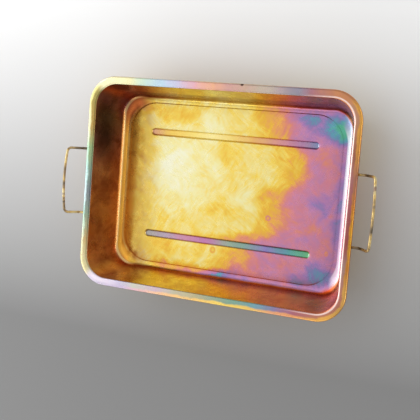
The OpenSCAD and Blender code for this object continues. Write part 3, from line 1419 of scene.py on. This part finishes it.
@dataclass(frozen=True)
class OutsideFinish:
    """Plainer yellow chromate on the faces that look away from the oil."""

    film: float = 0.34
    variation: float = 0.62

    def build(self) -> bpy.types.Material:
        """Write the material.

        Returns:
            The finished material.
        """
        g = Graph("outside_chromate", 0.88)
        fine = g.cloud(55, 5, 0.62, 0.8)
        film = (g.cloud(9, 3, 0.55, 0.6) - 0.5) * self.variation + self.film + (fine - 0.5) * 0.34
        drawn_marks = g.vector("MULTIPLY", g.place, (240.0, 240.0, 26.0))
        drawn = g.cloud(1.0, 3, 0.6, place=drawn_marks)
        worn = drawn.step(0.60, 0.36, 0.0, 0.28)
        colour = g.blend(worn, g.ramp(film, FILM_COLOURS), (206, 168, 122), "MULTIPLY")
        rough = fine.step(0.34, 0.66, 0.26, 0.42)
        return g.coat(colour, rough, g.cloud(620, 3, 0.6) + drawn, 0.25, 0.07 * MM)


@dataclass(frozen=True)
class WireFinish:
    """Worn chromate on the handle wire and on the clips."""

    name: str
    tones: tuple[Tone, ...]

    def build(self) -> bpy.types.Material:
        """Write the material.

        Returns:
            The finished material.
        """
        g = Graph(self.name, 0.85)
        colour = g.ramp(g.cloud(24, 5, 0.62, 0.6), spread(self.tones, 0.36, 0.64))
        rough = g.cloud(90, 4, 0.6).step(0.3, 0.7, 0.26, 0.42)
        return g.coat(colour, rough, g.cloud(900, 3, 0.6), 0.2, 0.05 * MM)


# -------------------------------------------------------------------- studio


@dataclass(frozen=True)
class SoftBox:
    """A rectangular studio light that points at the tray."""

    name: str
    place: tuple[float, float, float]
    size: Pair
    power: float
    target: tuple[float, float, float] = (0.0, 0.0, 0.04)

    def build(self) -> None:
        """Set the light up."""
        data = bpy.data.lights.new(self.name, "AREA")
        data.shape = "RECTANGLE"
        data.size, data.size_y = self.size
        data.energy = self.power
        lamp = add_object(self.name, data)
        lamp.location = self.place
        aim = Vector(self.target) - Vector(self.place)
        lamp.rotation_euler = aim.to_track_quat("-Z", "Y").to_euler()


@dataclass(frozen=True)
class Studio:
    """Pale floor, soft light and the camera."""

    floor_half: float = 6.0
    floor_rough: float = 0.9
    world: float = 0.60
    lights: tuple[SoftBox, ...] = (
        SoftBox("overhead", (-1.25, 0.3, 1.9), (3.0, 2.4), 12.5),
        SoftBox("left_bank", (-1.7, 0.1, 0.85), (2.4, 1.2), 20.0),
        SoftBox("front_bank", (-0.6, -1.8, 0.8), (2.6, 0.9), 9.0),
        SoftBox("right_strip", (1.8, 0.0, 0.5), (2.4, 0.35), 7.0),
    )
    focal_length: float = 66.66
    shift: Pair = (-0.0157, -0.0373)
    span: float = 0.45

    def floor(self) -> None:
        """Lay the pale floor, which is no part of the tray."""
        bm = bmesh.new()
        bmesh.ops.create_grid(bm, x_segments=1, y_segments=1, size=self.floor_half)
        floor = add_object("studio_floor", bm)
        g = Graph("floor_paper")
        # Painted shade: the paper grades from pale at the back to grey at the front, where the
        # light falls off.
        painted_falloff = [(0.28, (132,) * 3), (0.5, (196,) * 3), (0.74, (246,) * 3)]
        g.feed(g.surface.inputs["Base Color"], g.ramp(g.y * 0.8 + 0.5, painted_falloff))
        g.surface.inputs["Roughness"].default_value = self.floor_rough
        floor.data.materials.append(g.material)

    def camera(self, rim_height: float) -> None:
        """Place the camera above the tray's right end.

        Args:
            rim_height: Height of the tray's rim.
        """
        data = bpy.data.cameras.new("camera")
        data.lens = self.focal_length
        data.shift_x, data.shift_y = self.shift
        right = Vector((0.925505, 0.078247, -0.370564))
        up = Vector((-0.107992, 0.992329, -0.060180))
        turn = Matrix((right, up, right.cross(up))).transposed().to_4x4()
        position = Vector((0.98932, 0.25612, 2.46575)) * self.span
        position.z += rim_height
        camera = add_object("camera", data)
        camera.matrix_world = Matrix.Translation(position) @ turn
        bpy.context.scene.camera = camera

    def build(self, rim_height: float) -> None:
        """Set the whole studio up.

        Args:
            rim_height: Height of the tray's rim.
        """
        self.floor()
        for light in self.lights:
            light.build()
        world = bpy.data.worlds.new("studio")
        world.use_nodes = True
        sky = world.node_tree.nodes["Background"]
        sky.inputs["Color"].default_value = (1.0, 1.0, 1.0, 1.0)
        sky.inputs["Strength"].default_value = self.world
        bpy.context.scene.world = world
        bpy.context.scene.view_settings.view_transform = "Standard"
        self.camera(rim_height)


def dress(piece: Piece, *materials: bpy.types.Material) -> None:
    """Give a piece its materials and report it.

    Args:
        piece: The piece.
        materials: Its materials, from the first slot on.
    """
    piece.data.materials.clear()
    for material in materials:
        piece.data.materials.append(material)
    LOG.info("built %s", piece.name)


def main() -> None:
    """Build every piece, dress it and set the studio up."""
    logging.basicConfig(level=logging.INFO, format="%(message)s")
    pan = DrawnPan()
    dress(pan.build(), PanFinish(pan).build(), OutsideFinish().build())
    wire = WireFinish("wire_chromate", WIRE_TONES).build()
    strap = WireFinish("strap_chromate", STRAP_TONES).build()
    for side in Side:
        dress(WireHandle(side).build(), wire)
        for end in End:
            dress(LoopClip(side, end).build(), strap)
    Studio().build(pan.run.rim_height)


if __name__ == "__main__":
    main()
